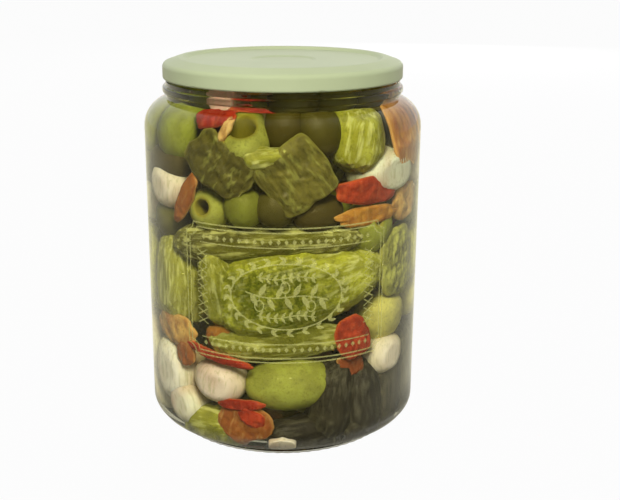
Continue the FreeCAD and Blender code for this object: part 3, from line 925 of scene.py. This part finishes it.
def drawPrint(s):
    w, h, line, thin = s["halfWidth"], s["halfHeight"], s["line"], s["thin"]
    for gap in (0, s["frameGap"]):
        inkFrame(w - gap, h - gap, s["bite"], line)
    # rows of small lozenges inside the top and the bottom rule
    a, b = s["lozenge"]
    for sign in (1, -1):
        end, z = w - s["lozengeInset"][0], sign * (h - s["lozengeInset"][1])
        for x in np.linspace(-end, end, s["lozenges"]):
            inkShape([(x - a, z), (x, z - b), (x + a, z), (x, z + b)])
        end, z = w - s["ruleInset"][0], sign * (h - s["ruleInset"][1])
        ribbon([(x, z) for x in np.linspace(-end, end, 40)], thin)
    inkField(s["shadeMiddle"], *s["shadeHalf"])
    for z in s["twigs"]:
        half = s["twigLength"] / 2
        stem = [(q, z + 0.5 * math.sin(q / 2.5)) for q in np.linspace(-half, half, 3 * s["twigLeaves"] + 1)]
        ribbon(stem, thin)
        for x, up in stem[1::3]:
            inkPair(x, up, 0, s["twigLeaf"])
    # a wreath of leaves round a plain oval with a twig of olives in it
    turns = np.linspace(0, 2 * math.pi, 73)[:-1]
    ribbon([ovalPoint(s["oval"], a) for a in turns], line, closed=True)
    for a in turns[::3]:
        along = math.degrees(math.atan2(s["wreathWay"][0] * math.cos(a), -s["wreathWay"][1] * math.sin(a)))
        inkPair(*ovalPoint(s["wreath"], a), along, s["wreathLeaf"])
    stem = [(x, 0.9 * math.sin(x / 4.2) - 0.1 * x) for x in np.linspace(-s["spray"], s["spray"], 30)]
    ribbon(stem, line)
    angle, length, width = s["sprayLeaf"]
    for k, (x, z) in enumerate(stem[2:-1:3]):
        side = 1 if k % 2 else -1
        inkLeaf(x, z, angle * side, length, width)
        if k % 3 == 1:
            ring = np.linspace(0, 2 * math.pi, 17)[:-1]
            ribbon([ovalPoint(s["fruit"], a, x, z - side * s["fruitDrop"]) for a in ring], line * 0.9, closed=True)
            ribbon([(x, z), (x, z - side * s["stalk"])], thin)
    # slanting hatch beside the wreath, left open towards the corners
    across, up = s["hatch"]
    for sign in (1, -1):
        start = sign * (w - s["hatchInset"])
        end = start - sign * across
        for z in s["hatchFrom"] + s["hatchStep"] * np.arange(s["hatches"]):
            ribbon([(start, z), (end, z + up)], thin)
            ribbon([(start, z + up), (end, z)], thin)


def makePrintMaterial(looks):
    material, tree = newMaterial("glassPrint")
    place = objectPlace(tree)
    speck, blotch = noise(tree, place, 1500.0, 2.0), noise(tree, place, 500.0, 1.0)
    fade = ownValue(tree, "shade")
    shaded = maths(tree, "GREATER_THAN", fade, 0.001)
    colour = colourMix(tree, speck, tint(looks["ink"]), tint(looks["worn"]))
    lines = ranged(tree, speck, 0.3, 0.6, looks["wornCover"], looks["cover"])
    field = ranged(tree, blotch, 0.42, 0.58, looks["shadeWornCover"], looks["shadeCover"])
    cover = node(tree, "Mix", {0: shaded, 2: lines, 3: maths(tree, "MULTIPLY", field, fade)})
    surface = node(tree, "BsdfPrincipled", {
        "Base Color": colourMix(tree, shaded, colour, tint(looks["shade"])), "Roughness": 0.6,
        "Alpha": cover.outputs[0], "Specular IOR Level": 0.1})
    node(tree, "OutputMaterial", {"Surface": surface.outputs[0]})
    return material


def makePrint(looks):
    drawPrint(looks)
    flat = np.array(ink["verts"])
    shade = np.zeros(len(flat))
    for k, value in ink["shade"]:
        shade[k] = value
    radius = jarHigh.x / mm - looks["below"] - looks["shadeBelow"] * (shade > 0)
    turn = math.radians(looks["turn"]) + flat[:, 0] / radius
    verts = np.column_stack([radius * np.sin(turn), -radius * np.cos(turn), looks["middle"] + flat[:, 1]])
    made = makeObject("glassPrint", verts, ink["faces"], [makePrintMaterial(looks)], None, {"shade": shade})
    made.data.shade_flat()
    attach(made, "root")


makePrint(printLooks)
print("stage: print")


# "cloud" is how much of the broad shade shows, "peel" and "grain" are scale, strength and depth of the bump
lidLooks = {
    "colour": "b8c197", "shade": "a6af84", "cloud": 0.35, "cloudSize": 40.0, "wear": "84866a", "wearSize": 0.8,
    "wearShare": 0.06, "peel": (1.6, 0.12, 0.05), "roughness": 0.42, "gloss": 0.3, "coat": 0.08,
    "coatRoughness": 0.15}
compoundLooks = {"dark": "b9b8a4", "light": "d0cfbd", "grain": (600.0, 0.2, 0.1), "roughness": 0.55}


def makeLidMaterial(looks):
    material, tree = newMaterial("lidLacquer")
    inMillimetres = {0: objectPlace(tree), 1: (1 / mm,) * 3}
    place = node(tree, "VectorMath", inMillimetres, operation="MULTIPLY").outputs[0]
    colour, (scale, strength, depth) = tint(looks["colour"]), looks["peel"]
    cloud = useGroup(tree, mottle, {
        "Place": place, "Base": colour, "Patch": tint(looks["shade"]), "Fleck": tint(looks["wear"]),
        "Patch Size": looks["cloudSize"], "Fleck Size": looks["wearSize"], "Fleck Amount": looks["wearShare"]})
    skin = node(tree, "BsdfPrincipled", {
        "Base Color": colourMix(tree, looks["cloud"], colour, cloud["Colour"]),
        "Roughness": looks["roughness"], "Specular IOR Level": looks["gloss"],
        "Coat Weight": looks["coat"], "Coat Roughness": looks["coatRoughness"],
        "Normal": bumped(tree, noise(tree, place, scale, 1.0), strength, depth)})
    node(tree, "OutputMaterial", {"Surface": skin.outputs[0]})
    return material


def makeCompoundMaterial(looks):
    material, tree = newMaterial("sealingCompound")
    scale, strength, depth = looks["grain"]
    grain = noise(tree, objectPlace(tree), scale, 2.0)
    skin = node(tree, "BsdfPrincipled", {
        "Base Color": colourMix(tree, grain, tint(looks["dark"]), tint(looks["light"])),
        "Roughness": looks["roughness"], "Normal": bumped(tree, grain, strength, depth)})
    node(tree, "OutputMaterial", {"Surface": skin.outputs[0]})
    return material


for name, material in (("lid", makeLidMaterial(lidLooks)), ("lid_gasket", makeCompoundMaterial(compoundLooks))):
    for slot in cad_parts[name].material_slots:
        slot.material = material
print("stage: lid")


# The floor and the room glow white where they are seen, and light the jar like a dim room. Mirrored, both
# are darker in front of the jar, down to "front", over the given stretches of Y. "under" is where the
# floor's glow starts and is full, as shares of the jar's radius.
stageLooks = {
    "floorSize": 12.0, "floor": 0.25, "floorGlow": 0.97, "underGlow": 0.0, "under": (0.9, 1.5), "world": 0.1,
    "front": 0.3, "floorFront": (-0.1, 0.35), "roomFront": (-0.5, 0.5), "sweep": (0.97, 0.93, 0.72, 1),
    "lamps": [  # place and size in metres, power in watts
        ("keyLight", (-0.05, -1.24, 1.16), 0.6, 30.0), ("fillLight", (0.4, -1.4, 0.4), 0.9, 1.5),
        ("backLight", (0.3, 1.45, 0.3), 0.5, 22.0)]}


def seenRays(tree):
    # camera rays, mirrored rays, and both with those through the glass
    path = node(tree, "LightPath").outputs
    camera, glossy = path["Is Camera Ray"], path["Is Glossy Ray"]
    through = maths(tree, "MAXIMUM", maths(tree, "MAXIMUM", camera, glossy), path["Is Transmission Ray"])
    return camera, glossy, through


def alongY(tree, place):
    return node(tree, "SeparateXYZ", {"Vector": place}).outputs["Y"]


def makeFloorMaterial(looks):
    material, tree = newMaterial("paleFloor")
    camera, glossy, seen = seenRays(tree)
    place = objectPlace(tree)
    # what is seen through the jar keeps the shade that the jar casts under itself
    reach = node(tree, "VectorMath", {0: place}, operation="LENGTH").outputs["Value"]
    start, full = (jarHigh.x * share for share in looks["under"])
    near = ranged(tree, reach, start, full, looks["underGlow"])
    ahead = ranged(tree, alongY(tree, place), *looks["floorFront"], looks["front"])
    direct = maths(tree, "MAXIMUM", camera, maths(tree, "MULTIPLY", glossy, ahead))
    seen = maths(tree, "MULTIPLY", seen, maths(tree, "MAXIMUM", direct, near))
    dull = node(tree, "BsdfDiffuse", {"Color": (looks["floor"],) * 3 + (1,)}).outputs[0]
    tone = colourMix(tree, camera, looks["sweep"], white)
    glow = node(tree, "Emission", {"Color": tone, "Strength": 1.0}).outputs[0]
    mix = shaderMix(tree, maths(tree, "MULTIPLY", seen, looks["floorGlow"]), dull, glow)
    node(tree, "OutputMaterial", {"Surface": mix})
    return material


def makeWorld(looks):
    world = bpy.data.worlds.new("studio")
    bpy.context.scene.world = world
    world.use_nodes = True
    tree = world.node_tree
    tree.nodes.clear()
    glossy, seen = seenRays(tree)[1:]
    way = alongY(tree, node(tree, "TexCoord").outputs["Generated"])
    dimmed = maths(tree, "MULTIPLY", glossy, ranged(tree, way, *looks["roomFront"], looks["front"] - 1, 0.0))
    low, high = (node(tree, "Background", {"Color": white, "Strength": strength}).outputs[0]
                 for strength in (looks["world"], maths(tree, "ADD", dimmed, 1.0)))
    node(tree, "OutputWorld", {"Surface": shaderMix(tree, seen, low, high)})


def makeStage(looks):
    half = looks["floorSize"] / 2
    mesh = bpy.data.meshes.new("floor")
    mesh.from_pydata([(-half, -half, 0), (half, -half, 0), (half, half, 0), (-half, half, 0)], [], [(0, 1, 2, 3)])
    floor = placed("floor", mesh)
    mesh.materials.append(makeFloorMaterial(looks))
    makeWorld(looks)
    aim = (jarLow + jarHigh) / 2
    for name, where, size, power in looks["lamps"]:
        lamp = bpy.data.lights.new(name, "AREA")
        lamp.shape = "DISK"
        lamp.size = size
        lamp.energy = power
        made = placed(name, lamp)
        made.location = where
        made.rotation_euler = (aim - made.location).to_track_quat("-Z", "Y").to_euler()
        made.visible_glossy = False


makeStage(stageLooks)

# lens and sensor in millimetres, places in metres, pitch in degrees
view = {"lens": 58.86, "sensor": 36.0, "back": 0.3668, "height": 0.17375, "pitch": 73.17, "shift": 0.0441, "far": 50}
camera = bpy.data.cameras.new("viewCamera")
camera.lens = view["lens"]
camera.sensor_width = view["sensor"]
camera.shift_x = view["shift"]
camera.clip_end = view["far"]
viewer = placed("viewCamera", camera)
viewer.location = (0, -view["back"], view["height"])
viewer.rotation_euler = (math.radians(view["pitch"]), 0, 0)
bpy.context.scene.camera = viewer
bpy.context.scene.view_settings.view_transform = "Standard"
print("stage: light and camera")


def corners(box):
    return [[round(float(c), 6) for c in corner] for corner in box]
